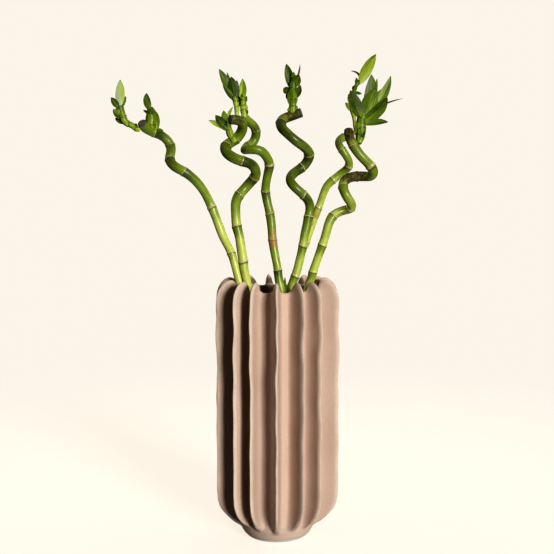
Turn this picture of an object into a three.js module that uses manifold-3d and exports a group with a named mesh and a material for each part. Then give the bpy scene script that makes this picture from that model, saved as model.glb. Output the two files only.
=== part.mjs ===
// Lucky bamboo: six curled canes with leafy shoots, standing in water in a deep-finned vase.
// Millimetres, +Z up. The origin is the centre of the vase's foot; the front faces -Y.
import * as THREE from 'three';
import { mergeVertices } from 'three/addons/utils/BufferGeometryUtils.js';
import Module from 'manifold-3d';

const wasm = await Module();
wasm.setup();

// Driving dimensions
const VASE_HEIGHT = 290;
const RIM_Z = 278.4;
const FIN_REACH = 71.4;
const FIN_ROOT_HALF = 4.2;
const FIN_EDGE_HALF = 2.2;
const FIN_EDGE_ROUND = 1.9;
// Each fin: the azimuth of its root, how far aside its edge leans, how far above the foot it ends.
const FINS = [
  [-68, 0, 2], [-45.5, 5.5, 7], [-27.2, 4.4, 4], [-0.6, 0, 0], [22.8, 0.9, 6], [45.5, -4.4, 6],
  [72, 0, 3], [103, 2, 5], [124, -2, 6], [144.6, 1, 4], [174, 3, 6], [190, 0, 5], [214, 2, 6],
  [234, -2, 5], [254, 0, 4],
];
const VALLEY_R = 48;
const MOUTH_R = 44.2;
const FLOOR_R = 34;
const FLOOR_Z = 10;
const WATER_LEVEL = 150;
const WATER_R = 43.3;
const GAP = 0.35;
const CANE_SIDES = 8;
const SCAR_RISE = 0.5;
const WAX_THICK = 1.6;
const BLADE_THICK = 0.7;

// Finishes
const CERAMIC = { color: 0xd8ac94, roughness: 0.8, metalness: 0 };
const WATER = { color: 0xc9d6cf, roughness: 0.1, metalness: 0 };
const CANE = { color: 0x4f8f2c, roughness: 0.35, metalness: 0 };
const CANE_DARK = { color: 0x2f7430, roughness: 0.35, metalness: 0 };
const WAX = { color: 0x3b3a36, roughness: 0.6, metalness: 0 };
const LEAF_DARK = { color: 0x2c6a2a, roughness: 0.4, metalness: 0 };
const LEAF_LIGHT = { color: 0x7fae45, roughness: 0.4, metalness: 0 };

const object = new THREE.Group();

function addPart(name, geometry, finish) {
  const mesh = new THREE.Mesh(geometry, new THREE.MeshStandardMaterial(finish));
  mesh.name = name;
  object.add(mesh);
}

function solidOf(geometry) {
  const plain = geometry.clone();
  plain.deleteAttribute('normal');
  plain.deleteAttribute('uv');
  const merged = mergeVertices(plain, 1e-4);
  return new wasm.Manifold(new wasm.Mesh({
    numProp: 3,
    vertProperties: new Float32Array(merged.attributes.position.array),
    triVerts: new Uint32Array(merged.index.array),
  }));
}

function geometryOf(solid) {
  const mesh = solid.getMesh();
  const geometry = new THREE.BufferGeometry();
  geometry.setAttribute('position', new THREE.BufferAttribute(mesh.vertProperties, 3));
  geometry.setIndex(new THREE.BufferAttribute(mesh.triVerts, 1));
  return geometry;
}

// A closed skin over rings of equal length, with a fan from a centre point at each end.
function skin(rings, first, last) {
  const count = rings[0].length;
  const points = [first, ...rings.flat(), last];
  const faces = [];
  for (let j = 0; j < count; j += 1) {
    const k = (j + 1) % count;
    faces.push(0, 1 + k, 1 + j);
    for (let i = 0; i + 1 < rings.length; i += 1) {
      const a = 1 + i * count;
      const b = a + count;
      faces.push(a + j, a + k, b + k);
      faces.push(a + j, b + k, b + j);
    }
    const end = 1 + (rings.length - 1) * count;
    faces.push(end + j, end + k, points.length - 1);
  }
  const geometry = new THREE.BufferGeometry();
  geometry.setAttribute('position', new THREE.Float32BufferAttribute(points.flat(), 3));
  geometry.setIndex(faces);
  return geometry;
}

// Vase: each row pairs a point of the fin's edge with a point of the valley beside it, as [r, z].
const FOOT_ROWS = [
  [[33.4, 0], [33.4, 0]],
  [[34.6, 1.2], [34.6, 1.2]],
  [[38, 4.8], [38, 4.8]],
  [[40.6, 9.4], [40.6, 9.4]],
  [[44.6, 13], [42.2, 12.6]],
  [[50, 17.6], [43, 15.4]],
  [[55.2, 22.2], [43.5, 17.4]],
  [[60.4, 27.7], [44, 19.8]],
  [[66.6, 35.5], [45, 29]],
  [[70, 44], [46.6, 40]],
  [[FIN_REACH, 56], [47.7, 54]],
];
const TOP_ROWS = [
  [[FIN_REACH, 264], [VALLEY_R, 262]],
  [[70.8, 273], [VALLEY_R, 270]],
  [[67.4, 281.5], [VALLEY_R, 275.5]],
  [[61, 288], [47.5, 277.6]],
  [[54, VASE_HEIGHT], [46.2, RIM_Z]],
  [[49, 287.3], [45.1, 277.6]],
  [[45.9, 280.5], [44.5, 275]],
  [[MOUTH_R, 262], [MOUTH_R, 262]],
  [[MOUTH_R, 50], [MOUTH_R, 50]],
  [[40.5, 24], [40.5, 24]],
  [[FLOOR_R, FLOOR_Z + 0.5], [FLOOR_R, FLOOR_Z + 0.5]],
];

function vaseRows() {
  const rows = [...FOOT_ROWS];
  for (let z = 76; z < 256; z += 21) {
    rows.push([[FIN_REACH, z], [VALLEY_R, z]]);
  }
  return [...rows, ...TOP_ROWS];
}

function ramp(x, low, high) {
  return Math.min(1, Math.max(0, (x - low) / (high - low)));
}

// How far a fin's edge swells out and sways aside at a height; every fin has its own rhythm.
function finWave(fin, z) {
  const hold = ramp(z, 40, 200) * (1 - ramp(z, 250, 285));
  const swell = 0.45 * Math.sin(z / 8.4 + fin * 2.4) + 0.5 * Math.sin(z / 17 + fin * 1.3);
  const sway = 0.55 * Math.sin(z / 7.8 + fin * 1.9) + 0.5 * Math.sin(z / 21 + fin * 3.1);
  return [swell * hold, sway * hold];
}

function vaseGeometry() {
  const rows = vaseRows();
  const rings = rows.map(([edge, valley], i) => {
    const before = rows[Math.max(0, i - 1)][0];
    const after = rows[Math.min(rows.length - 1, i + 1)][0];
    const run = new THREE.Vector2(after[0] - before[0], after[1] - before[1]).normalize();
    const full = Math.hypot(edge[0] - valley[0], edge[1] - valley[1]);
    const ring = [];
    FINS.forEach(([azimuth, lean, lift], fin) => {
      const next = FINS[(fin + 1) % FINS.length][0];
      const gapAngle = ((next - azimuth + 360) % 360) / 2;
      const a = THREE.MathUtils.degToRad(azimuth);
      const point = (r, side, z) => [
        r * Math.sin(a) + side * Math.cos(a),
        -r * Math.cos(a) + side * Math.sin(a),
        z,
      ];
      const risen = edge[1] > 100 ? 1 : ramp(edge[1], 9.4 + lift, 13.4 + 1.8 * lift);
      const raised = ramp(full * risen, 0, 7);
      const [swell, sway] = finWave(fin, edge[1]);
      const aside = sway * raised + lean * ramp(full * risen, 0, 23);
      const tip = valley[0] + (edge[0] - valley[0]) * risen + swell * raised;
      const tipZ = valley[1] + (edge[1] - valley[1]) * risen;
      const shoulder = tip - FIN_EDGE_ROUND * raised * run.y;
      const shoulderZ = tipZ + FIN_EDGE_ROUND * raised * run.x;
      const rootR = Math.sqrt(valley[0] ** 2 - FIN_ROOT_HALF ** 2) + 0.6 * raised;
      ring.push(point(rootR, -FIN_ROOT_HALF, valley[1]));
      ring.push(point(shoulder, -FIN_EDGE_HALF + aside, shoulderZ));
      ring.push(point(tip, aside, tipZ));
      ring.push(point(shoulder, FIN_EDGE_HALF + aside, shoulderZ));
      ring.push(point(rootR, FIN_ROOT_HALF, valley[1]));
      const b = THREE.MathUtils.degToRad(azimuth + gapAngle);
      ring.push([valley[0] * Math.sin(b), -valley[0] * Math.cos(b), valley[1]]);
    });
    return ring;
  });
  return skin(rings, [0, 0, 0], [0, 0, FLOOR_Z]);
}

// Canes: a route of [x, y, z] points from the foot up; a fourth value marks a ring scar.
const CANES = [
  {
    name: 'cane_1', waxed: true, radii: [4.4, 5, 5.2], finish: CANE,
    route: [
      [-16, 6, 11], [-18, 5, 175], [-39, 0, 279], [-42, 1, 286], [-51, 5, 318, 1], [-60, 10, 335],
      [-66, 11, 351], [-73, 12, 369, 1], [-80, 9, 384], [-89, 4, 397], [-102, -1, 408, 1],
      [-112, 0, 413], [-119, 6, 421, 1], [-118, 14, 431], [-119, 18, 438, 1], [-124, 17, 445],
      [-130, 13, 449], [-137, 8, 452, 1], [-142, 2, 454], [-146, -2, 457], [-147, -5, 460],
    ],
  },
  {
    name: 'cane_2', waxed: true, radii: [4.9, 5.4, 5], finish: CANE,
    route: [
      [-24, -14, 11], [-25, -15, 175], [-32, -19, 282], [-36, -20, 301], [-37, -20, 311, 1],
      [-39, -20, 324], [-41, -20, 338], [-44, -19, 349, 1], [-45, -17, 362], [-45, -13, 375],
      [-42, -9, 382, 1], [-35, -5, 390], [-28, -6, 398], [-24, -9, 402, 1], [-23, -15, 409],
      [-28, -23, 416], [-38, -29, 419, 1], [-48, -28, 423], [-55, -22, 429], [-56, -16, 435, 1],
      [-50, -10, 440], [-45, -7, 443, 1], [-40, -8, 449], [-37, -13, 456], [-38, -20, 461],
      [-43, -25, 463], [-49, -28, 463],
    ],
  },
  {
    name: 'cane_3', radii: [4.7, 5, 4.2], finish: CANE_DARK,
    route: [
      [22, 12, 11], [21, 11, 175], [5, 8, 275], [2, 9, 287], [1, 10, 298, 1], [-2, 11, 314],
      [-5, 12, 332, 1], [-6, 12, 347], [-8, 13, 362, 1], [-11, 13, 375], [-13, 13, 387, 1],
      [-12, 11, 397], [-10, 8, 407], [-8, 4, 416, 1], [-12, -2, 425], [-18, -7, 431],
      [-27, -8, 432], [-34, -3, 432], [-36, 4, 432], [-33, 11, 436, 1], [-27, 15, 440],
      [-24, 16, 446], [-23, 14, 454, 1], [-26, 10, 459], [-31, 5, 463], [-37, 1, 469],
    ],
  },
  {
    name: 'cane_4', waxed: true, radii: [4.5, 5.2, 5.2], finish: CANE,
    route: [
      [-5, -26, 11], [-5, -26, 175], [14, -26, 279], [17, -27, 288], [20, -27, 295, 1],
      [23, -27, 306], [28, -27, 328, 1], [30, -27, 340], [32, -26, 349], [34, -25, 359, 1],
      [36, -24, 368], [34, -28, 376], [28, -34, 383, 1], [20, -37, 390], [14, -34, 397],
      [15, -27, 403], [22, -19, 409], [27, -16, 412, 1], [33, -17, 419], [35, -22, 427, 1],
      [29, -31, 434], [20, -37, 440], [12, -37, 447], [5, -32, 454], [4, -25, 460, 1],
      [6, -19, 464], [13, -15, 467], [19, -14, 469], [25, -15, 471],
    ],
  },
  {
    name: 'cane_5', radii: [3.6, 4.3, 4.3], finish: CANE_DARK,
    route: [
      [-7, 24, 11], [-6, 23, 175], [14, 24, 275], [19, 25, 289, 1], [25, 26, 307],
      [33, 26, 329, 1], [40, 26, 349], [47, 25, 368, 1], [52, 24, 383], [57, 23, 394],
      [63, 23, 399, 1], [70, 24, 405], [77, 22, 410], [81, 17, 415, 1], [80, 13, 421],
      [76, 11, 427], [72, 11, 433, 1], [68, 14, 439], [70, 19, 444], [75, 23, 447, 1],
      [80, 25, 449], [85, 25, 452],
    ],
  },
  {
    name: 'cane_6', waxed: true, radii: [4.5, 5.3, 5], finish: CANE,
    route: [
      [6, -9, 11], [8, -8, 175], [35, 1, 281], [38, -1, 289], [40, -2, 298, 1], [45, -4, 313],
      [50, -5, 327, 1], [54, -5, 340], [57, -5, 351], [61, -3, 359, 1], [69, 1, 364],
      [76, 2, 366], [82, -2, 368, 1], [82, -8, 373], [77, -13, 379], [74, -14, 385],
      [72, -9, 391, 1], [74, -3, 398], [81, 2, 402], [89, 5, 403, 1], [97, 4, 403],
      [104, -2, 403], [106, -8, 408], [102, -12, 414, 1], [89, -16, 427], [83, -15, 436, 1],
      [79, -12, 444], [78, -8, 452],
    ],
  },
];

// The centreline: evenly spaced points of a curve through the route, eased a little.
function centreline(route) {
  const curve = new THREE.CatmullRomCurve3(route.map(([x, y, z]) => new THREE.Vector3(x, y, z)));
  curve.arcLengthDivisions = 2000;
  const steps = Math.round(curve.getLength() / 2.5);
  let points = curve.getSpacedPoints(steps);
  for (let pass = 0; pass < 4; pass += 1) {
    points = points.map((p, i) => {
      if (i === 0 || i === steps) {
        return p;
      }
      return points[i - 1].clone().addScaledVector(p, 2).add(points[i + 1]).multiplyScalar(0.25);
    });
  }
  return points;
}

// Stations along a centreline: at every scar, and elsewhere as often as the bend calls for.
function stations(points, scars) {
  const picked = [0];
  let turn = 0;
  for (let i = 1; i < points.length - 1; i += 1) {
    const back = points[i].clone().sub(points[i - 1]);
    const ahead = points[i + 1].clone().sub(points[i]);
    turn += back.angleTo(ahead);
    const nearScar = scars.some((s) => Math.abs(s - i) <= 1);
    const far = i - picked[picked.length - 1];
    if (nearScar || turn > 0.34 || far > 24) {
      picked.push(i);
      turn = 0;
    }
  }
  picked.push(points.length - 1);
  return picked;
}

function tube(points, radii, sides) {
  const last = points.length - 1;
  const along = points.map((p, i) => (
    points[Math.min(i + 1, last)].clone().sub(points[Math.max(i - 1, 0)]).normalize()
  ));
  const rings = [];
  let across = new THREE.Vector3(0, -1, 0);
  points.forEach((p, i) => {
    across = across.clone().addScaledVector(along[i], -across.dot(along[i])).normalize();
    const other = along[i].clone().cross(across);
    const ring = [];
    for (let j = 0; j < sides; j += 1) {
      const a = (2 * Math.PI * j) / sides;
      const v = p.clone().addScaledVector(across, radii[i] * Math.cos(a));
      v.addScaledVector(other, radii[i] * Math.sin(a));
      ring.push(v.toArray());
    }
    rings.push(ring);
  });
  return skin(rings, points[0].toArray(), points[last].toArray());
}

function buildCane(cane) {
  const points = centreline(cane.route);
  const scars = cane.route.filter((p) => p[3]).map(([x, y, z]) => {
    const spot = new THREE.Vector3(x, y, z);
    const far = points.map((p) => p.distanceTo(spot));
    return far.indexOf(Math.min(...far));
  });
  const picked = stations(points, scars);
  const [low, high, top] = cane.radii;
  const radii = picked.map((i) => {
    const along = i / (points.length - 1);
    const plain = low + (high - low) * ramp(along, 0.55, 0.85) + (top - high) * ramp(along, 0.94, 1);
    return plain + (scars.includes(i) ? SCAR_RISE : 0);
  });
  const line = picked.map((i) => points[i]);
  const end = line[line.length - 1];
  const heading = end.clone().sub(line[line.length - 2]).normalize();
  const beyond = cane.waxed ? 2 * GAP + WAX_THICK : GAP;
  const longer = [...line.slice(0, -1), end.clone().addScaledVector(heading, beyond)];
  return {
    ...cane,
    end,
    heading,
    endRadius: top,
    solid: solidOf(tube(line, radii, CANE_SIDES)),
    clear: solidOf(tube(longer, radii.map((r) => r + GAP), CANE_SIDES)),
  };
}

const canes = CANES.map(buildCane);

// A shallow cap of wax over the cut end of a cane.
function waxGeometry(cane) {
  const profile = [[0, 0], [0.97, 0], [0.97, 0.4], [0.6, 0.85], [0, 1]];
  const outline = profile.map(([r, z]) => (
    new THREE.Vector2(r * cane.endRadius, GAP + z * WAX_THICK)
  ));
  const cap = new THREE.LatheGeometry(outline, 8);
  cap.rotateX(Math.PI / 2);
  const turn = new THREE.Quaternion();
  turn.setFromUnitVectors(new THREE.Vector3(0, 0, 1), cane.heading);
  cap.applyQuaternion(turn);
  cap.translate(cane.end.x, cane.end.y, cane.end.z);
  return cap;
}

// A blade: a lance-shaped leaf, bowed between its two ends.
const BLADE_HALF = [0.32, 0.66, 0.98, 0.97, 0.62, 0.08];
const BLADE_AT = [0, 0.14, 0.36, 0.6, 0.84, 1];

function blade([x0, y0, z0, x1, y1, z1, width, bow = 0]) {
  const from = new THREE.Vector3(x0, y0, z0);
  const to = new THREE.Vector3(x1, y1, z1);
  const run = to.clone().sub(from);
  const heading = run.clone().normalize();
  const face = new THREE.Vector3(0, -1, 0);
  face.addScaledVector(heading, -face.dot(heading)).normalize();
  const side = heading.clone().cross(face);
  const middle = from.clone().add(to).multiplyScalar(0.5);
  middle.addScaledVector(side, bow).addScaledVector(face, -0.06 * run.length());
  const rib = new THREE.QuadraticBezierCurve3(from, middle, to);
  const steps = run.length() > 18 ? [0, 1, 2, 3, 4, 5] : [0, 2, 3, 5];
  const rings = steps.map((s) => {
    const p = rib.getPoint(BLADE_AT[s]);
    const heading2 = rib.getTangent(BLADE_AT[s]);
    const side2 = side.clone().addScaledVector(heading2, -side.dot(heading2)).normalize();
    const up = side2.clone().cross(heading2);
    const half = 0.5 * width * BLADE_HALF[s];
    const at = (u, v) => p.clone().addScaledVector(side2, u).addScaledVector(up, v).toArray();
    const t = BLADE_THICK / 2;
    return [at(-half, t), at(half, t), at(half, -t), at(-half, -t)];
  });
  return skin(rings, from.toArray(), to.toArray());
}

// Shoots: each is a stem of [x, y, z, radius] points with blades as
// [x, y, z of the root, x, y, z of the tip, width, bow sideways].
const SHOOTS = [
  {
    name: 'shoot_1', finish: LEAF_LIGHT,
    stem: [
      [-151, -3, 454, 2.7], [-155, -6, 455, 2.4], [-158, -8, 458, 2.7], [-163, -8, 460, 2.9],
      [-166, -8, 463, 3.1], [-168, -7, 468, 3.6], [-170, -6, 474, 3.4], [-171, -6, 480, 2.7],
    ],
    blades: [
      [-172, -6, 478, -170, -9, 507, 8.5, 0.5], [-173, -6, 477, -180, -11, 488, 6, 0.5],
      [-171, -5, 477, -165, -3, 490, 4.5], [-167, -8, 466, -178, -12, 475, 8],
      [-168, -7, 470, -176, -2, 480, 5.5], [-166, -8, 461, -177, -4, 466, 5.5],
      [-161, -9, 459, -163, -11, 464, 4.5], [-155, -7, 455, -153, -11, 460, 4.5],
    ],
  },
  {
    name: 'shoot_2', finish: LEAF_DARK,
    stem: [
      [-139, 7, 452, 4.2], [-139, 6, 456, 5.2], [-139, 6, 462, 5.4], [-139, 6, 470, 4.7],
      [-140, 6, 477, 2.7], [-141, 6, 482, 1.5],
    ],
    blades: [
      [-138, 5, 451, -137, 2, 479, 12.5, -0.5], [-134, 6, 453, -133, 8, 474, 7.5, -0.5],
      [-142, 3, 459, -137, 0, 478, 6.5, -1], [-140, 6, 476, -143, 3, 494, 7, -3],
      [-141, 6, 472, -148, 10, 476, 2.5], [-136, 7, 455, -125, 3, 453, 4, 0.5],
      [-135, 7, 459, -131, 10, 464, 3.5],
    ],
  },
  {
    name: 'shoot_3', finish: LEAF_DARK,
    stem: [
      [-46, -14, 440, 3.4], [-48, -15, 444, 3.4], [-51, -16, 448, 3.3], [-52, -16, 453, 3],
      [-53, -16, 458, 2],
    ],
    blades: [
      [-52, -17, 452, -66, -21, 467, 7, -0.5], [-53, -15, 455, -58, -12, 474, 6, -1.5],
      [-53, -14, 456, -48, -11, 478, 3, -4.5], [-53, -15, 454, -74, -10, 461, 5.5, 0.5],
      [-52, -15, 452, -53, -18, 467, 4.5], [-49, -17, 444, -51, -21, 455, 4.5],
      [-47, -15, 442, -44, -18, 450, 4.5], [-49, -14, 444, -42, -9, 445, 3.5],
    ],
  },
  {
    name: 'shoot_4', finish: LEAF_DARK,
    stem: [
      [-44, 0, 466, 3], [-44, 1, 471, 2.4], [-44, 0, 477, 2.4], [-45, 0, 483, 2.7],
      [-46, 0, 488, 2.4], [-48, 1, 492, 1.4],
    ],
    blades: [
      [-47, 0, 488, -63, -5, 519, 6.5, 1], [-47, 1, 490, -55, 6, 517, 3, -0.5],
      [-46, -1, 487, -47, -4, 510, 8.5, 0.5], [-46, 0, 485, -59, -7, 503, 4, -0.5],
      [-45, 1, 480, -44, 3, 508, 4, 0.5], [-44, 2, 479, -40, 7, 510, 6.5, 4.5],
    ],
  },
  {
    name: 'shoot_5', finish: LEAF_LIGHT,
    stem: [
      [-36, 0, 468, 3.3], [-36, 0, 471, 3.1], [-37, 0, 477, 3.1], [-37, -1, 483, 2.8],
      [-37, -1, 488, 2.4], [-38, -1, 491, 1.4],
    ],
    blades: [
      [-37, -1, 481, -33, -4, 490, 4.5, -0.5], [-37, -1, 485, -39, -5, 492, 3.5],
      [-37, 0, 475, -39, -5, 482, 4], [-36, 0, 473, -33, 4, 481, 4],
      [-36, 0, 469, -32, -4, 475, 4],
    ],
  },
  {
    name: 'shoot_6', finish: LEAF_DARK,
    stem: [
      [16, -15, 466, 3.7], [17, -15, 473, 3.6], [17, -14, 480, 3.9], [17, -14, 487, 4.1],
      [17, -14, 494, 4.2], [17, -14, 501, 3.7], [18, -13, 506, 2.4],
    ],
    blades: [
      [15, -13, 498, 10, -10, 524, 6.5, 1], [17, -12, 502, 18, -15, 515, 4],
      [18, -14, 499, 24, -19, 511, 7.5, -1], [18, -13, 501, 25, -9, 524, 1.5, 3],
      [19, -14, 487, 25, -8, 502, 5, 2], [13, -15, 493, 7, -20, 497, 5.5],
      [14, -14, 485, 10, -10, 492, 3.5], [17, -16, 477, 16, -20, 498, 8],
      [18, -14, 473, 22, -11, 479, 3.5], [15, -15, 472, 12, -19, 476, 3.5],
    ],
  },
  {
    name: 'shoot_7', finish: LEAF_LIGHT,
    stem: [
      [88, 24, 453, 2.1], [87, 23, 460, 2], [86, 22, 469, 1.9], [84, 22, 477, 1.9],
      [83, 21, 484, 2], [83, 21, 491, 1.8], [86, 20, 498, 1.7], [88, 19, 503, 1.6],
      [91, 19, 507, 1.3],
    ],
    blades: [
      [92, 19, 506, 109, 12, 537, 10, -1], [92, 19, 507, 82, 22, 520, 2, 9.5],
      [91, 20, 505, 101, 26, 512, 2, -1], [89, 20, 502, 88, 15, 512, 3.5],
      [86, 20, 497, 85, 25, 504, 3], [86, 20, 496, 95, 25, 495, 3, -0.5],
      [85, 22, 475, 76, 19, 485, 5, 0.5], [83, 21, 482, 80, 24, 495, 5, 0.5],
    ],
  },
  {
    name: 'shoot_8', finish: LEAF_DARK,
    stem: [
      [89, -14, 438, 2.6], [90, -12, 444, 4.3], [91, -12, 452, 5.2], [91, -11, 459, 5],
      [92, -10, 466, 4.1], [94, -8, 472, 2.4],
    ],
    blades: [
      [92, -12, 465, 79, -17, 495, 10.5], [94, -9, 464, 106, -10, 497, 13.5, 0.5],
      [96, -8, 470, 103, 1, 514, 11.5, 6], [96, -8, 470, 110, 6, 510, 5, 4.5],
      [95, -8, 469, 119, 3, 500, 9], [95, -8, 469, 124, -3, 512, 8.5, 10],
      [95, -11, 463, 119, -18, 487, 10.5, 5], [94, -12, 459, 120, -19, 461, 5.5, -3],
      [95, -9, 468, 137, -8, 486, 1.5, 1.5], [89, -14, 454, 94, -19, 445, 6.5],
      [90, -14, 447, 87, -18, 461, 7.5],
    ],
  },
  {
    name: 'shoot_9', finish: LEAF_DARK,
    stem: [[9, 11, 262, 1.6], [9, 14, 270, 1.8], [9, 14, 283, 1.5], [9, 14, 290, 0.5]],
    blades: [],
  },
];

function shootSolid(shoot) {
  const points = shoot.stem.map(([x, y, z]) => new THREE.Vector3(x, y, z));
  let solid = solidOf(tube(points, shoot.stem.map((p) => p[3]), 6));
  for (const row of shoot.blades) {
    solid = solid.add(solidOf(blade(row)));
  }
  for (const cane of canes) {
    solid = solid.subtract(cane.clear);
  }
  return solid;
}

function waterSolid() {
  const outline = [
    new THREE.Vector2(0, FLOOR_Z + GAP),
    new THREE.Vector2(FLOOR_R - 0.8, FLOOR_Z + 1),
    new THREE.Vector2(39.2, 24.6),
    new THREE.Vector2(WATER_R, 51),
    new THREE.Vector2(WATER_R, WATER_LEVEL),
    new THREE.Vector2(0, WATER_LEVEL),
  ];
  const body = new THREE.LatheGeometry(outline, 24);
  body.rotateX(Math.PI / 2);
  let solid = solidOf(body);
  for (const cane of canes) {
    solid = solid.subtract(cane.clear);
  }
  return solid;
}

addPart('vase', vaseGeometry(), CERAMIC);
addPart('water', geometryOf(waterSolid()), WATER);
for (const cane of canes) {
  addPart(cane.name, geometryOf(cane.solid), cane.finish);
  if (cane.waxed) {
    addPart(cane.name.replace('cane', 'wax'), waxGeometry(cane), WAX);
  }
}
for (const shoot of SHOOTS) {
  addPart(shoot.name, geometryOf(shootSolid(shoot)), shoot.finish);
}

export default object;
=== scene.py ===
"""Lucky bamboo: six curled canes with leafy shoots, standing in water in a deep-finned vase.

The pieces are laid out in millimetres, as measured, and shaped in metres, +Z up, with the front facing -Y.
"""
import math
import random

import bpy
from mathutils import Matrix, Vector


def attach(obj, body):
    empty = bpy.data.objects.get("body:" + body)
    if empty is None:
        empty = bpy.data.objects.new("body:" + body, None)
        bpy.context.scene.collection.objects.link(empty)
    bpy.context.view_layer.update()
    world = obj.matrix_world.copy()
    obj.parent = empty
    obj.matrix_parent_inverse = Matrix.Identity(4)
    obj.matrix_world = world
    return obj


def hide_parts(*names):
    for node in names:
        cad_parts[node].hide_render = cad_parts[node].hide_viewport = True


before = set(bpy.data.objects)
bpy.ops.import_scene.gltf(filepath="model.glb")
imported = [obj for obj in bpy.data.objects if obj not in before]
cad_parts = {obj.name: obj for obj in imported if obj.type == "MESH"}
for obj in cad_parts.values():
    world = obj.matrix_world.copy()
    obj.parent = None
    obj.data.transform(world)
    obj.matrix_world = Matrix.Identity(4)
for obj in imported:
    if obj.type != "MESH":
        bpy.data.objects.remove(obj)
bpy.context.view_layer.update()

MM = 0.001
TURN = 2 * math.pi

# The vase and its water
VASE_HEIGHT = 290
RIM_Z = 278.4
FIN_REACH = 71.4
# Each fin: the azimuth of its root in degrees from the front, how far aside its edge leans and how
# far above the foot it ends.
FINS = [
    (-68, 0, 2), (-45.5, 5.5, 7), (-27.2, 4.4, 4), (-0.6, 0, 0), (22.8, 0.9, 6), (45.5, -4.4, 6),
    (72, 0, 3), (103, 2, 5), (124, -2, 6), (144.6, 1, 4), (174, 3, 6), (190, 0, 5), (214, 2, 6),
    (234, -2, 5), (254, 0, 4),
]
VALLEY_R = 48
MOUTH_R = 44.2
FLOOR_R = 34
FLOOR_Z = 10
WATER_LEVEL = 150
WATER_R = 43.3
WATER_SIDES = 64

# The plant: how finely its pieces are divided, and what its canes, leaves and sheaths share.
CANE_SIDES = 24
STEM_SIDES = 14
WAX_SIDES = 20
CANE_STEP = 0.9
STEM_STEP = 1.0
SCAR_RISE = 0.5
WAX_THICK = 1.6
BLADE_THICK = 0.5
BLADE_COLUMNS = 8
BLADE_ROW = 1.5
USUAL_SPREAD = 1.14
# A leaf narrower than this is a dry thread.
THREAD_WIDTH = 2.2
# A sheath goes down the stem by so many steps. Its leaf's root lies this close to the stem's skin,
# and no sheath made before it ends within so many steps.
SHEATH_LENGTH = 9
SHEATH_REACH = 2.5
SHEATH_GAP = 3
# These cast no shadow, because the photograph shows the canes behind them in full light.
SHADOWLESS = ("cane_2", "cane_4", "cane_6", "shoot_3", "shoot_8")

# The camera in metres, as it stood for the photograph, and the light
EYE = (0, -1.108, 0.3914)
EYE_DOWN = 0.0899
LENS = 64.98
SENSOR = 36
CREAM = (0.68, 0.643, 0.588, 1)
WARM_LIGHT = (1.0, 0.86, 0.68, 1)
SUN_HEADING = (-0.485, 0.857, -0.174)


# Shaping by hand

def take_up(*pieces):
    """Leaves only these pieces selected, the first of them active."""
    bpy.ops.object.select_all(action="DESELECT")
    for piece in pieces:
        piece.select_set(True)
    bpy.context.view_layer.objects.active = pieces[0]


def flat_sheet(name, across, along):
    """A flat grid of squares, whose UV map runs across and along it."""
    bpy.ops.object.select_all(action="DESELECT")
    bpy.ops.mesh.primitive_grid_add(x_subdivisions=across, y_subdivisions=along, size=1)
    piece = bpy.context.object
    piece.name = piece.data.name = name
    return piece


def close_up(piece, angle=50):
    """Merges what meets, turns the faces outwards and smooths the shading."""
    take_up(piece)
    bpy.ops.object.mode_set(mode="EDIT")
    bpy.ops.mesh.select_all(action="SELECT")
    bpy.ops.mesh.remove_doubles(threshold=2e-7)
    bpy.ops.mesh.dissolve_degenerate(threshold=1e-8)
    bpy.ops.mesh.normals_make_consistent(inside=False)
    bpy.ops.object.mode_set(mode="OBJECT")
    bpy.ops.object.shade_smooth_by_angle(angle=math.radians(angle))


def mark(piece, name, values, kind="FLOAT"):
    """Stores one value a point under that name, for the materials to read."""
    layer = piece.data.attributes.new(name, kind, "POINT")
    if kind == "FLOAT":
        layer.data.foreach_set("value", values)
    else:
        layer.data.foreach_set("vector", [x for v in values for x in v])


def rolled(name, rings, marks=None, angle=50):
    """Rolls a sheet into a closed skin over rings of points in millimetres.

    marks(ring, column) gives each point's values by name.
    """
    across, along = len(rings[0]), len(rings) - 1
    piece = flat_sheet(name, across, along)
    found = {}
    for v in piece.data.vertices:
        i = round((v.co.x + 0.5) * across) % across
        j = round((v.co.y + 0.5) * along)
        v.co = Vector(rings[j][i]) * MM
        if marks:
            for key, value in marks(j, i).items():
                found.setdefault(key, []).append(value)
    for key, values in found.items():
        mark(piece, key, values, "FLOAT" if isinstance(values[0], float) else "FLOAT_VECTOR")
    close_up(piece, angle)
    return piece


def ramp(x, low, high):
    """How far x has come from low to high, from 0 to 1."""
    return min(1.0, max(0.0, (x - low) / (high - low)))


def ease(x, low, high):
    """A ramp that starts and ends gently."""
    t = ramp(x, low, high)
    return t * t * (3 - 2 * t)


def bump(x, centre, width):
    """A hump of height 1 at its centre."""
    return math.exp(-((x - centre) / width) ** 2)


def any_turn(draw):
    """A random angle."""
    return draw.uniform(0, 6.28)


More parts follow.
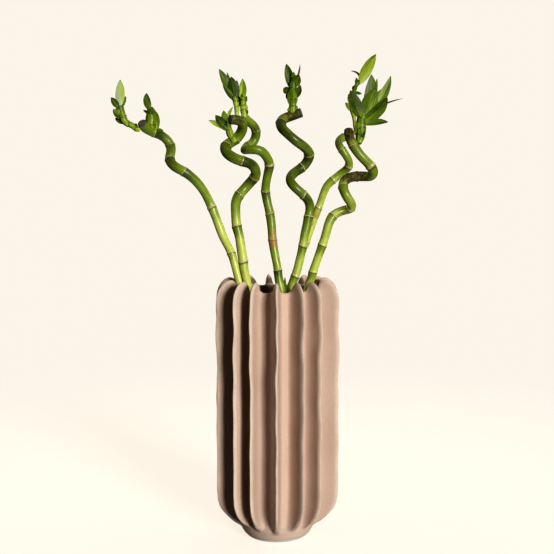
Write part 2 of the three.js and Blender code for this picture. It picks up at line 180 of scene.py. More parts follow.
def through(points, step):
    """A smooth curve through points of any number of coordinates, evenly spaced by about step.

    It is drawn finely first, and close points don't make it loop. Then it is divided evenly.
    """
    between_points = 16
    before = [2 * a - b for a, b in zip(points[0], points[1])]
    beyond = [2 * a - b for a, b in zip(points[-1], points[-2])]
    held = [before, *points, beyond]
    fine = [list(map(float, points[0]))]
    for p0, p1, p2, p3 in zip(held, held[1:], held[2:], held[3:]):
        d0, d1, d2 = (max(1e-4, math.dist(a, b)) ** 0.5 for a, b in ((p0, p1), (p1, p2), (p2, p3)))
        for k in range(1, between_points + 1):
            t = k / between_points
            spot = []
            for a, b, c, d in zip(p0, p1, p2, p3):
                m1 = ((b - a) / d0 - (c - a) / (d0 + d1) + (c - b) / d1) * d1
                m2 = ((c - b) / d1 - (d - b) / (d1 + d2) + (d - c) / d2) * d1
                spot.append(b + m1 * t + (3 * (c - b) - 2 * m1 - m2) * t * t
                            + (2 * (b - c) + m1 + m2) * t ** 3)
            fine.append(spot)
    run = [0.0]
    for a, b in zip(fine, fine[1:]):
        run.append(run[-1] + math.dist(a, b))
    count = max(2, round(run[-1] / step))
    spaced = []
    k = 0
    for n in range(count + 1):
        goal = run[-1] * n / count
        while k < len(run) - 2 and run[k + 1] < goal:
            k += 1
        t = (goal - run[k]) / max(1e-9, run[k + 1] - run[k])
        spaced.append([a + (b - a) * t for a, b in zip(fine[k], fine[k + 1])])
    return spaced


def turned_rings(line, radius, sides):
    """Rings square to a line of points; radius(point, angle) gives each one's reach."""
    line = [Vector(p[:3]) for p in line]
    rings = []
    across = Vector((0, -1, 0))
    for i, p in enumerate(line):
        along = (line[min(i + 1, len(line) - 1)] - line[max(i - 1, 0)]).normalized()
        across = (across - along * across.dot(along)).normalized()
        other = along.cross(across)
        ring = []
        for j in range(sides):
            a = TURN * j / sides
            ring.append(p + (across * math.cos(a) + other * math.sin(a)) * radius(i, a))
        rings.append(ring)
    return rings


def capped(rings):
    """The rings with a point at the middle of each end."""
    first, last = (sum(ring, Vector()) / len(ring) for ring in (rings[0], rings[-1]))
    return [[first] * len(rings[0]), *rings, [last] * len(rings[0])]


def without_caps(j, rings):
    """The ring that a row of the capped skin was made from; an end's middle counts as its ring."""
    return min(max(j - 1, 0), len(rings) - 1)


# Materials

class Wiring:
    """The nodes of a material or of the background, added one at a time, from left to right."""

    def __init__(self, owner):
        owner.use_nodes = True
        self.nodes = owner.node_tree.nodes
        self.links = owner.node_tree.links

    def add(self, kind, **settings):
        """A new node with its settings; inputs gives numbers, or outputs of other nodes, by socket."""
        node = self.nodes.new("ShaderNode" + kind)
        inputs = settings.pop("inputs", {})
        for key, value in settings.items():
            setattr(node, key, value)
        for key, value in inputs.items():
            self.feed(node.inputs[key], value)
        return node

    def feed(self, socket, value):
        if isinstance(value, bpy.types.NodeSocket):
            self.links.new(value, socket)
        else:
            socket.default_value = value

    def scaled(self, vector, scale):
        return self.add("Mapping", inputs={"Vector": vector, "Scale": scale}).outputs["Vector"]

    def noise(self, vector, scale, detail=3):
        node = self.add("TexNoise", inputs={
            "Vector": vector, "Scale": scale, "Detail": detail, "Roughness": 0.55})
        return node.outputs["Fac"]

    def between(self, value, low, high, to_low=0.0, to_high=1.0):
        """Eases from one value to another while the input goes from low to high."""
        node = self.add("MapRange", interpolation_type="SMOOTHSTEP", inputs={
            "Value": value, "From Min": low, "From Max": high, "To Min": to_low, "To Max": to_high})
        return node.outputs["Result"]

    def maths(self, operation, a, b=0.0):
        node = self.add("Math", operation=operation)
        self.feed(node.inputs[0], a)
        self.feed(node.inputs[1], b)
        return node.outputs[0]

    def times(self, a, b):
        return self.maths("MULTIPLY", a, b)

    def distance(self, vector):
        return self.add("VectorMath", operation="LENGTH", inputs={0: vector}).outputs["Value"]

    def blend(self, share, first, second):
        """Mixes two colours; its sockets go by number, because a Mix node has one set a kind of value."""
        node = self.add("Mix", data_type="RGBA")
        self.feed(node.inputs[0], share)
        self.feed(node.inputs[6], first)
        self.feed(node.inputs[7], second)
        return node.outputs[2]


class Finish(Wiring):
    """A material, whose shader takes the colour, the roughness and the relief."""

    def __init__(self, name, **shader):
        self.material = bpy.data.materials.new(name)
        super().__init__(self.material)
        self.shader = self.nodes["Principled BSDF"]
        for key, value in shader.items():
            self.shader.inputs[key.replace("_", " ")].default_value = value

    def read(self, name, vector=False):
        """What mark stored on the piece under that name."""
        node = self.add("Attribute", attribute_name=name)
        return node.outputs["Vector" if vector else "Fac"]

    def place(self):
        """Where a point of the piece lies, in metres."""
        return self.add("TexCoord").outputs["Object"]

    def paint(self, colour):
        self.feed(self.shader.inputs["Base Color"], colour)

    def rough(self, value):
        self.feed(self.shader.inputs["Roughness"], value)

    def relief(self, height, depth, strength=1.0):
        node = self.add("Bump", inputs={"Height": height, "Distance": depth, "Strength": strength})
        self.links.new(node.outputs["Normal"], self.shader.inputs["Normal"])


def ceramic_finish():
    """Matte pinkish-beige stoneware: softly mottled, paler on the fins' edges and round the foot.

    The inside, up to the inner noses of the fins, is painted dark as shade. The lowest 3 mm of the foot
    are bare clay.
    """
    rosy, beige, speckle = (0.53, 0.405, 0.33, 1), (0.58, 0.45, 0.37, 1), (0.46, 0.34, 0.265, 1)
    worn_edge, pale_foot = (0.74, 0.64, 0.55, 1), (0.70, 0.56, 0.46, 1)
    painted_inner_shade, bare_clay = (0.06, 0.04, 0.025, 1), (0.90, 0.88, 0.83, 1)
    f = Finish("matte_ceramic", Roughness=0.8)
    place = f.place()
    broad = f.noise(place, 14, 4)
    fine = f.noise(place, 420, 3)
    grain = f.noise(place, 1500, 2)
    body = f.blend(f.between(broad, 0.3, 0.7), rosy, beige)
    body = f.blend(f.between(fine, 0.35, 0.75, 0, 0.3), body, speckle)

    edge = f.between(f.read("fin"), 0.88, 1.0)
    worn = f.times(edge, f.between(f.noise(place, 60, 3), 0.3, 0.65, 0.35, 0.9))
    body = f.blend(f.times(worn, 0.55), body, worn_edge)

    height = f.add("SeparateXYZ", inputs={"Vector": place}).outputs["Z"]
    body = f.blend(f.between(height, 6 * MM, 16 * MM, 0.45, 0), body, pale_foot)

    # Painted shade: the inner wall and the inner noses of the fins are darkened as if in shadow.
    reach = f.distance(f.scaled(place, (1, 1, 0)))
    wall = f.between(reach, (MOUTH_R + 0.5) * MM, (MOUTH_R + 2) * MM, 1, 0)
    wall = f.times(wall, f.between(height, 50 * MM, 60 * MM))
    nose = f.between(reach, (VALLEY_R - 0.5) * MM, (VALLEY_R + 3.5) * MM, 1, 0)
    nose = f.times(nose, f.between(height, (RIM_Z + 0.4) * MM, (RIM_Z + 2.8) * MM))
    body = f.blend(f.maths("MAXIMUM", f.times(nose, 0.85), wall), body, painted_inner_shade)

    wobble = f.times(f.noise(place, 90, 2), 0.8 * MM)
    clay = f.between(f.maths("ADD", height, wobble), 2.6 * MM, 3.4 * MM, 1, 0)
    body = f.blend(clay, body, bare_clay)
    f.paint(body)
    f.rough(f.between(fine, 0.2, 0.8, 0.7, 0.86))
    f.relief(f.maths("ADD", f.times(grain, 0.4), fine), 0.22 * MM, 0.55)
    return f.material


def cane_finish():
    """Satin green cane, from pale to dark by its own tone, with fine grain along it.

    A tan ring marks each scar, with a dark seam beside it, and blemishes turn to rust or to bark.
    """
    pale, green, deep = (0.50, 0.58, 0.13, 1), (0.18, 0.26, 0.016, 1), (0.042, 0.066, 0.003, 1)
    tan, dark_seam, rusty = (0.60, 0.49, 0.28, 1), (0.045, 0.045, 0.006, 1), (0.40, 0.21, 0.09, 1)
    dark_bark, dry_bark = (0.03, 0.022, 0.006, 1), (0.13, 0.10, 0.035, 1)
    f = Finish("green_cane", Roughness=0.42, Coat_Roughness=0.28, Specular_IOR_Level=0.3, IOR=1.48)
    skin = f.read("skin", True)
    streak = f.noise(f.scaled(skin, (0.9, 0.9, 0.035)), 1.0, 4)
    blotch = f.noise(f.scaled(skin, (0.2, 0.2, 0.06)), 1.0, 3)
    tone = f.maths("ADD", f.read("tone"), f.between(blotch, 0.25, 0.75, -0.13, 0.13))
    tone = f.maths("ADD", tone, f.between(streak, 0.3, 0.7, 0.05, -0.05))
    body = f.blend(f.between(tone, 0.0, 0.5), pale, green)
    body = f.blend(f.between(tone, 0.45, 1.0), body, deep)

    scar = f.read("scar")
    ring = f.times(f.between(scar, -0.6, -0.15), f.between(scar, 0.35, 0.9, 1, 0))
    ring = f.times(ring, f.between(streak, 0.3, 0.6, 0.25, 0.85))
    body = f.blend(ring, body, tan)
    seam = f.times(f.between(scar, -1.3, -0.7), f.between(scar, -0.6, -0.3, 1, 0))
    body = f.blend(f.times(seam, 0.75), body, dark_seam)

    blemish = f.read("blemish")
    patchy = f.between(streak, 0.2, 0.8, -0.4, 0.4)
    rust = f.between(f.maths("ADD", blemish, patchy), 0.25, 1.0, 0, 0.85)
    body = f.blend(rust, body, rusty)
    bark = f.between(f.maths("SUBTRACT", patchy, blemish), 0.2, 0.8, 0, 0.95)
    flake = f.noise(f.scaled(skin, (0.5, 0.5, 0.3)), 1.0, 3)
    body = f.blend(bark, body, f.blend(f.between(flake, 0.42, 0.6), dark_bark, dry_bark))
    f.paint(body)
    f.feed(f.shader.inputs["Coat Weight"], f.times(f.maths("SUBTRACT", 1.0, bark), 0.35))
    f.rough(f.maths("ADD", f.between(streak, 0.2, 0.8, 0.4, 0.5), f.times(bark, 0.3)))
    f.relief(f.maths("ADD", streak, f.times(blotch, 0.5)), 0.14 * MM, 0.35)
    return f.material


def leaf_finish():
    """Leaves, stems and sheaths: fine veins running along, dark to yellow-green by their own tone."""
    dark, green, yellow = (0.022, 0.05, 0.004, 1), (0.115, 0.19, 0.012, 1), (0.40, 0.50, 0.05, 1)
    painted_sheen, vein, pale_rib = (0.46, 0.58, 0.34, 1), (0.24, 0.31, 0.03, 1), (0.26, 0.35, 0.12, 1)
    dark_margin, withered = (0.05, 0.075, 0.012, 1), (0.10, 0.055, 0.022, 1)
    f = Finish("leaf_skin", Roughness=0.4, Specular_IOR_Level=0.3, IOR=1.4)
    grain = f.read("grain", True)
    mottle = f.noise(f.scaled(grain, (0.5, 0.12, 0.3)), 1.0, 3)
    line = f.noise(f.scaled(grain, (5.0, 0.06, 5.0)), 1.0, 2)
    streak = f.noise(f.scaled(grain, (0.9, 0.05, 0.9)), 1.0, 2)
    tone = f.maths("ADD", f.read("tone"), f.between(mottle, 0.25, 0.75, -0.12, 0.12))
    tone = f.maths("ADD", tone, f.between(streak, 0.3, 0.7, -0.16, 0.16))
    body = f.blend(f.between(tone, 0.0, 0.5), dark, green)
    body = f.blend(f.between(tone, 0.5, 1.0), body, yellow)
    # Painted sheen: a tone over 1 turns the leaf pale and whitish, as a reflection of the light would.
    body = f.blend(f.between(tone, 1.0, 1.4), body, painted_sheen)
    body = f.blend(f.between(line, 0.4, 0.75, 0, 0.3), body, vein)

    side = f.maths("ABSOLUTE", f.read("rib"))
    midrib = f.between(side, 0.03, 0.12, 1, 0)
    body = f.blend(f.times(midrib, 0.3), body, pale_rib)
    body = f.blend(f.times(f.between(side, 0.86, 1.0), 0.5), body, dark_margin)
    body = f.blend(f.between(f.read("dry"), 0.35, 0.85), body, withered)
    f.paint(body)
    f.rough(f.between(mottle, 0.2, 0.8, 0.34, 0.46))
    f.relief(f.maths("SUBTRACT", line, f.times(midrib, 0.8)), 0.12 * MM, 0.4)
    return f.material


def wax_finish():
    """Dark sealing wax, dull and slightly lumpy."""
    dark, scuffed = (0.035, 0.034, 0.03, 1), (0.14, 0.13, 0.105, 1)
    f = Finish("dark_wax", Roughness=0.55, IOR=1.44)
    lump = f.noise(f.place(), 700, 4)
    f.paint(f.blend(f.between(lump, 0.3, 0.7), dark, scuffed))
    f.rough(f.between(lump, 0.2, 0.8, 0.42, 0.7))
    f.relief(lump, 0.5 * MM, 0.7)
    return f.material


def water_finish():
    """Clear water, a little green from the canes."""
    greenish, clear = (0.86, 0.93, 0.88, 1), (0.90, 0.95, 0.90, 1)
    f = Finish("still_water", Roughness=0.03, IOR=1.333, Transmission_Weight=1.0)
    ripple = f.noise(f.place(), 30, 2)
    f.paint(f.blend(ripple, greenish, clear))
    f.relief(ripple, 0.4 * MM, 0.3)
    return f.material


# The vase. LOWEST_FIN is where the first fin leaves the foot, FULL_FIN_R the valley's radius from
# which a fin has its full thickness, and FULL_STAND how far a whole fin stands out of its valley.
# Between the two middle heights the fins and the valleys go straight up.

LOWEST_FIN = 9.4
FULL_FIN_R = 44
FULL_STAND = 23
MIDDLE_LOW = 76
MIDDLE_HIGH = 244
# As r, z, from the middle outwards
UNDERSIDE = [(0.5, 1.6), (14, 1.6), (25, 1.6), (26.6, 1.3), (27.5, 0.3), (28.2, 0)]
# Each row pairs a point of the fin's edge with a point of the valley beside it, as r, z.
FOOT_ROWS = [
    (33, 0, 33, 0), (33.7, 0.3, 33.7, 0.3), (34.6, 1.2, 34.6, 1.2), (38, 4.8, 38, 4.8),
    (40.6, LOWEST_FIN, 40.6, LOWEST_FIN), (44.6, 13, 42.2, 12.6), (50, 17.6, 43, 15.4),
    (55.2, 22.2, 43.5, 17.4), (60.4, 27.7, 44, 19.8), (66.6, 35.5, 45, 29), (70, 44, 46.6, 40),
    (FIN_REACH, 56, 47.7, 54), (FIN_REACH, MIDDLE_LOW, VALLEY_R, MIDDLE_LOW),
]
TOP_ROWS = [
    (FIN_REACH, MIDDLE_HIGH, VALLEY_R, 243), (FIN_REACH, 264, VALLEY_R, 262),
    (70.8, 273, VALLEY_R, 270), (67.4, 281.5, VALLEY_R, 275.5), (61, 288, 47.5, 277.6),
    (54, VASE_HEIGHT, 46.2, RIM_Z), (49, 287.3, 45.1, 277.6), (45.9, 280.5, 44.5, 275),
    (MOUTH_R, 270, MOUTH_R, 268), (MOUTH_R, 255, MOUTH_R, 255),
]
# As r, z, from the mouth down to the middle of the floor
INSIDE = [
    (MOUTH_R, 200), (MOUTH_R, 120), (MOUTH_R, 50), (43, 34), (40.5, 24), (37, 15.5),
    (FLOOR_R, FLOOR_Z + 0.6), (30, FLOOR_Z), (12, FLOOR_Z), (0.5, FLOOR_Z),
]
# Half of a fin's section: how far out along it (1 is the edge), how much less far out in
# millimetres, so that the edge is rounded, and how far to the side.
FIN_SECTION = [
    (1.0, 0.0, 0.0), (0.985, 0.2, 0.85), (0.955, 0.75, 1.55), (0.93, 1.6, 2.05), (0.86, 1.0, 2.35),
    (0.72, 0.3, 2.65), (0.54, 0, 2.95), (0.37, 0, 3.4), (0.23, 0, 4.05), (0.125, 0, 4.9),
    (0.055, 0, 5.8), (0.015, 0, 6.7),
]


def fin_wave(fin, z):
    """How far a fin's edge swells out and sways aside at a height; every fin has its own rhythm."""
    hold = ramp(z, 40, 200) * (1 - ramp(z, 250, 285))
    swell = 0.45 * math.sin(z / 8.4 + fin * 2.4) + 0.5 * math.sin(z / 17 + fin * 1.3)
    sway = 0.55 * math.sin(z / 7.8 + fin * 1.9) + 0.5 * math.sin(z / 21 + fin * 3.1)
    return swell * hold, sway * hold


def vase_ring(edge_r, edge_z, valley_r, valley_z):
    """One ring of the vase's skin, with each point's share of the way out to its fin's edge.

    A fin that ends above the foot rises out of the valley over a few millimetres, and a fin that
    is crowded by the next one has a narrower root.
    """
    full = math.hypot(edge_r - valley_r, edge_z - valley_z)
    out, up = ((edge_r - valley_r) / full, (edge_z - valley_z) / full) if full > 0.01 else (1, 0)
    slim = min(1.0, valley_r / FULL_FIN_R)
    root = FIN_SECTION[-1][2] / VALLEY_R
    ring = []
    for fin, (azimuth, lean, lift) in enumerate(FINS):
        after = math.radians((FINS[(fin + 1) % len(FINS)][0] - azimuth) % 360) / 2
        before = math.radians((azimuth - FINS[fin - 1][0]) % 360) / 2
        stand = full * ramp(edge_z, LOWEST_FIN + lift, LOWEST_FIN + 4 + 1.8 * lift)
        raised = ramp(stand, 0, 7)
        swell, sway = fin_wave(fin, edge_z)
        aside = lean * ramp(stand, 0, FULL_STAND)
        a = math.radians(azimuth)

        def flank(share, less, side, squeezed):
            """A point on the fin, and how far out along the fin it lies."""
            h = max(0.0, stand * share + (swell * share ** 2 - less) * raised)
            side *= (1 - (1 - squeezed) * (1 - share)) * slim
            side += sway * raised * share ** 1.3 + aside * share
            r = math.sqrt(max(0.0, valley_r ** 2 - min(side * side, valley_r ** 2))) + out * h
            at = (r * math.sin(a) + side * math.cos(a), -r * math.cos(a) + side * math.sin(a),
                  valley_z + up * h)
            return at, share * raised

        def valley(side_angle):
            b = a + side_angle
            return (valley_r * math.sin(b), -valley_r * math.cos(b), valley_z), 0.0

        tight_before, tight_after = (min(1.0, 0.82 * gap / root) for gap in (before, after))
        for k in (2, 1):
            ring.append(valley(-(root * tight_before + (before - root * tight_before) * k / 3)))
        for share, less, side in reversed(FIN_SECTION[1:]):
            ring.append(flank(share, less, -side, tight_before))
        for share, less, side in FIN_SECTION:
            ring.append(flank(share, less, side, tight_after))
        for k in (1, 2, 3):
            ring.append(valley(root * tight_after + (after - root * tight_after) * k / 3))
    return ring


def make_vase(finish):
    """The ceramic shell: from under its foot up the fins, over the rim and down inside to the floor."""
    rows = [(r, z, r, z) for r, z in UNDERSIDE]
    rows += through(FOOT_ROWS, 2.6)
    middle_step = 3
    for z in range(MIDDLE_LOW + middle_step, MIDDLE_HIGH, middle_step):
        rows.append((FIN_REACH, z, VALLEY_R, z))
    rows += through(TOP_ROWS, 2.4)
    rows += [(r, z, r, z) for r, z in INSIDE]
    rings = [vase_ring(*row) for row in rows]
    points = [[Vector(at) for at, _ in ring] for ring in rings]

    def marks(j, i):
        return {"fin": float(rings[without_caps(j, rings)][i][1])}

    vase = rolled("vase_shell", capped(points), marks, 60)
    vase.data.materials.append(finish)
    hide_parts("vase")
    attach(vase, "root")


# The canes: a route of x, y, z points from the foot up. A fourth value marks a ring scar and says
# how dark the skin is under it, a fifth how many times broader than most the ring is. A blemish is
# x, y, z, radius and strength: rust if the strength is over 0, bark if it is under. The radii are
# those of the lower part, the upper part and the end. The tones are the darkness low down and high
# up, and the heights between which the one turns into the other.

CANES = {
    "cane_1": {
        "radii": (4.4, 5.2, 5.3), "waxed": True, "tones": (-0.1, 0.62, 310, 420),
        "blemishes": [(-119, 18, 440, 3, 0.5), (-147, -4, 460, 5, -1.3)],
        "route": [
            (-16, 6, 11), (-18, 5, 175), (-39, 0, 279), (-42, 1, 286), (-51, 5, 318, 0.8),
            (-60, 10, 335), (-66, 11, 351), (-73, 12, 369, 0.15, 2), (-80, 9, 384), (-89, 4, 397),
            (-102, -1, 408, 0.6), (-112, 0, 413), (-119, 6, 421, 0.5), (-118, 14, 431),
            (-119, 18, 438, 0.3), (-124, 17, 445), (-130, 13, 449), (-137, 8, 452, 1),
            (-142, 2, 454), (-146, -2, 457), (-147, -5, 460),
        ],
    },
    "cane_2": {
        "radii": (4.9, 5.6, 5.2), "waxed": True, "tones": (0.02, 0.72, 320, 420),
        "blemishes": [(-38, -13, 457, 2.4, 1), (-43, -24, 463, 8, -1.1), (-38, -22, 299, 5, 0.8),
                      (-37, -21, 289, 5, 0.7)],
        "route": [
            (-24, -14, 11), (-25, -15, 175), (-32, -19, 282), (-36, -20, 301), (-37, -20, 311, 0.25, 3),
            (-39, -20, 324), (-41, -20, 338), (-44, -19, 349, 1), (-45, -17, 362), (-45, -13, 375),
            (-42, -9, 382, 0.3), (-35, -5, 390), (-28, -6, 398), (-24, -9, 402, 0.6), (-23, -15, 409),
            (-28, -23, 416), (-38, -29, 419, 0.8), (-48, -28, 423), (-55, -22, 429),
            (-56, -16, 435, 0.3), (-50, -10, 440), (-45, -7, 443, 0.3), (-40, -8, 449),
            (-37, -13, 456), (-38, -20, 461), (-43, -25, 463), (-49, -28, 463),
        ],
    },
    "cane_3": {
        "radii": (4.6, 5, 4.4), "tones": (0.3, 0.6, 290, 430),
        "blemishes": [(-4, 8, 330, 9, 1), (-5, 8, 338, 7, 0.9), (-24, 12, 458, 7, -1)],
        "route": [
            (22, 12, 11), (21, 11, 175), (5, 8, 275), (2, 9, 287), (1, 10, 298, 1), (-2, 11, 314),
            (-5, 12, 332, 0.2), (-6, 12, 347), (-8, 13, 362, 0.35), (-11, 13, 375), (-13, 13, 387, 0.5),
            (-12, 11, 397), (-10, 8, 407), (-8, 4, 416, 0.3, 3), (-12, -2, 425), (-18, -7, 431),
            (-27, -8, 432), (-34, -3, 432), (-36, 4, 432), (-33, 11, 436, 0.3), (-27, 15, 440),
            (-24, 16, 446), (-23, 14, 454, 0.3), (-26, 10, 459), (-31, 5, 463), (-37, 1, 469),
        ],
    },
    "cane_4": {
        "radii": (4.5, 5.2, 5.2), "waxed": True, "tones": (0.14, 0.8, 310, 400),
        "blemishes": [(8, -20, 465, 6, 0.8), (16, -14, 468, 9, -1.4), (27, -15, 471, 6, -1.5)],
        "route": [
            (-5, -26, 11), (-5, -26, 175), (14, -26, 279), (17, -27, 288), (20, -27, 295, 0.5, 2),
            (23, -27, 306), (28, -27, 328, 0.6, 2), (30, -27, 340), (32, -26, 349), (34, -25, 359, 0.35),
            (36, -24, 368), (34, -28, 376), (28, -34, 383, 0.3), (20, -37, 390), (14, -34, 397),
            (15, -27, 403), (22, -19, 409), (27, -16, 412, 0.4, 2), (33, -17, 419), (35, -22, 427, 0.4),
            (29, -31, 434), (20, -37, 440), (12, -37, 447), (5, -32, 454), (4, -25, 460, 0.4),
            (6, -19, 464), (13, -15, 467), (19, -14, 469), (25, -15, 471),
        ],
    },
    "cane_5": {
        "radii": (3.6, 4.3, 4.3), "tones": (-0.1, 0.4, 320, 430),
        "blemishes": [(50, 21, 367, 4, 0.7), (45, 21, 358, 4, 0.9), (40, 21, 350, 4, 0.7),
                      (69, 12, 439, 9, -0.6)],
        "route": [
            (-7, 24, 11), (-6, 23, 175), (14, 24, 275), (19, 25, 289, 0.6), (25, 26, 307),
            (33, 26, 329, 0.3), (40, 26, 349), (47, 25, 368, 0.3), (52, 24, 383), (57, 23, 394),
            (63, 23, 399, 0.2), (70, 24, 405), (77, 22, 410), (81, 17, 415, 0.4, 2), (80, 13, 421),
            (76, 11, 427), (72, 11, 433, 0.15), (68, 14, 439), (70, 19, 444), (75, 23, 447, 0.2),
            (80, 25, 449), (85, 25, 452),
        ],
    },
    "cane_6": {
        "radii": (4.5, 5.3, 5), "waxed": True, "tones": (0.02, 0.5, 300, 430),
        "blemishes": [(79, -10, 449, 10, -1.8), (84, 2, 403, 14, -1.9), (101, -13, 416, 5, 0.8),
                      (72, 1, 365, 9, -0.6)],
        "route": [
            (6, -9, 11), (8, -8, 175), (35, 1, 281), (38, -1, 289), (40, -2, 298, 0.7),
            (45, -4, 313), (50, -5, 327, 0.8), (54, -5, 340), (57, -5, 351), (61, -3, 359, 0.3),
            (69, 1, 364), (76, 2, 366), (82, -2, 368, 0.3, 2), (82, -8, 373), (77, -13, 379),
            (74, -14, 385), (72, -9, 391, 0.3), (74, -3, 398), (81, 2, 402), (89, 5, 403, 0.2),
            (97, 4, 403), (104, -2, 403), (106, -8, 408), (102, -12, 414, 0.3, 3), (89, -16, 427),
            (83, -15, 436, 0.2), (79, -12, 444), (78, -8, 452),
        ],
    },
}


def centreline(route):
    """Evenly spaced points of a curve through the route, eased a little."""
    points = through([p[:3] for p in route], 2.5)
    rounds = 4
    for _ in range(rounds):
        points = [points[0]] + [
            [(a + 2 * b + c) / 4 for a, b, c in zip(*three)]
            for three in zip(points, points[1:], points[2:])
        ] + [points[-1]]
    return points


def find_scars(route, line, spacing, draw):
    """Where each scar is along the cane, how far it tilts and which way, and its own values."""
    scars = []
    for point in route:
        if len(point) > 3:
            nearest = min(range(len(line)), key=lambda i: math.dist(line[i], point[:3]))
            scars.append((nearest * spacing, draw.uniform(0.3, 0.9), any_turn(draw), *point[3:]))
    return scars


def scar_shade(s, scars):
    """How much darker a place is for being close under a scar, or paler for being close over one."""
    far = 99
    over = min((at - s for at, *_ in scars if at >= s), default=far)
    under = min((s - at for at, *_ in scars if at < s), default=far)
    depth = next((own[0] for at, _, _, *own in scars if abs(at - s - over) < 1e-6), 0)
    reach = min(20, 0.85 * (over + under))
    return depth * 0.5 * (1 - ease(over, 0, reach)) - 0.1 * bump(under, 0, 5)


def make_cane(name, cane, finish):
    """One cane: a skin over its centreline, with a raised scar and a slight swelling at each node.

    Returns the middle of its upper end, the way it points there and its radius.
    """
    draw = random.Random(name)
    line = through(centreline(cane["route"]), CANE_STEP)
    spacing = sum(math.dist(a, b) for a, b in zip(line, line[1:])) / (len(line) - 1)
    scars = find_scars(cane["route"], line, spacing, draw)
    low, high, top = cane["radii"]
    length = spacing * (len(line) - 1)
    slow_wave, quick_wave = any_turn(draw), any_turn(draw)

    def past_scar(i, a):
        """How far past the nearest scar a point is, in millimetres along the cane."""
        s = i * spacing
        return min((s - at - tilt * math.cos(a - turn) for at, tilt, turn, *_ in scars), key=abs)

    def radius(i, a):
        s = i * spacing
        past = past_scar(i, a)
        plain = low + (high - low) * ramp(s / length, 0.55, 0.85)
        plain += (top - high) * ramp(s / length, 0.94, 1)
        plain += 0.10 * math.sin(s / 13 + slow_wave) + 0.07 * math.sin(s / 5 + quick_wave + 2 * a)
        ridge = SCAR_RISE * bump(past, 0, 0.75)
        swelling = 0.28 * bump(past, -1, 4.5)
        groove = 0.14 * bump(past, 1.6, 0.9)
        rounded_end = 0.35 * ramp(s, length - 0.8, length) ** 2
        return plain + ridge + swelling - groove - rounded_end

    rings = turned_rings(line, radius, CANE_SIDES)
    tone_low, tone_high, z_low, z_high = cane["tones"]
    usual_r = 5
    far = 12

    def marks(j, i):
        j = without_caps(j, rings)
        a = TURN * i / CANE_SIDES
        place = rings[j][i]
        spot = max((strength * bump((place - Vector((x, y, z))).length, 0, size)
                    for x, y, z, size, strength in cane["blemishes"]), key=abs)
        nearest = min(scars, key=lambda scar: abs(j * spacing - scar[0]))
        broader = nearest[4] if len(nearest) > 4 else 1
        scar = past_scar(j, a) / broader
        tone = tone_low + (tone_high - tone_low) * ease(line[j][2], z_low, z_high)
        return {
            "skin": (usual_r * math.cos(a), usual_r * math.sin(a), j * spacing),
            "scar": float(max(-far, min(far, scar))),
            "tone": float(tone + scar_shade(j * spacing, scars)),
            "blemish": float(spot),
        }

    piece = rolled(name + "_skin", capped(rings), marks)
    piece.data.materials.append(finish)
    piece.visible_shadow = name not in SHADOWLESS
    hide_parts(name)
    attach(piece, "root")
    return Vector(line[-1]), (Vector(line[-1]) - Vector(line[-4])).normalized(), top


def make_wax(name, end, heading, radius, finish):
    """A cap of wax over a cut end, a little uneven round its rim."""
    draw = random.Random(name)
    first_turn, second_turn = any_turn(draw), any_turn(draw)
    # How far through the cap, and how broad it is there
    profile = [(0.0, 0.97), (0.25, 1.0), (0.62, 0.98), (0.9, 0.86), (1.0, 0.6), (1.06, 0.3)]
    clearance = 0.3
    line = [end + heading * (clearance + t * WAX_THICK) for t, _ in profile]

    def reach(i, a):
        lump = 1 + 0.03 * math.sin(2 * a + first_turn) + 0.025 * math.sin(3 * a + second_turn)
        return radius * profile[i][1] * lump

    piece = rolled(name + "_cap", capped(turned_rings(line, reach, WAX_SIDES)))
    piece.data.materials.append(finish)
    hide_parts(name)
    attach(piece, "root")
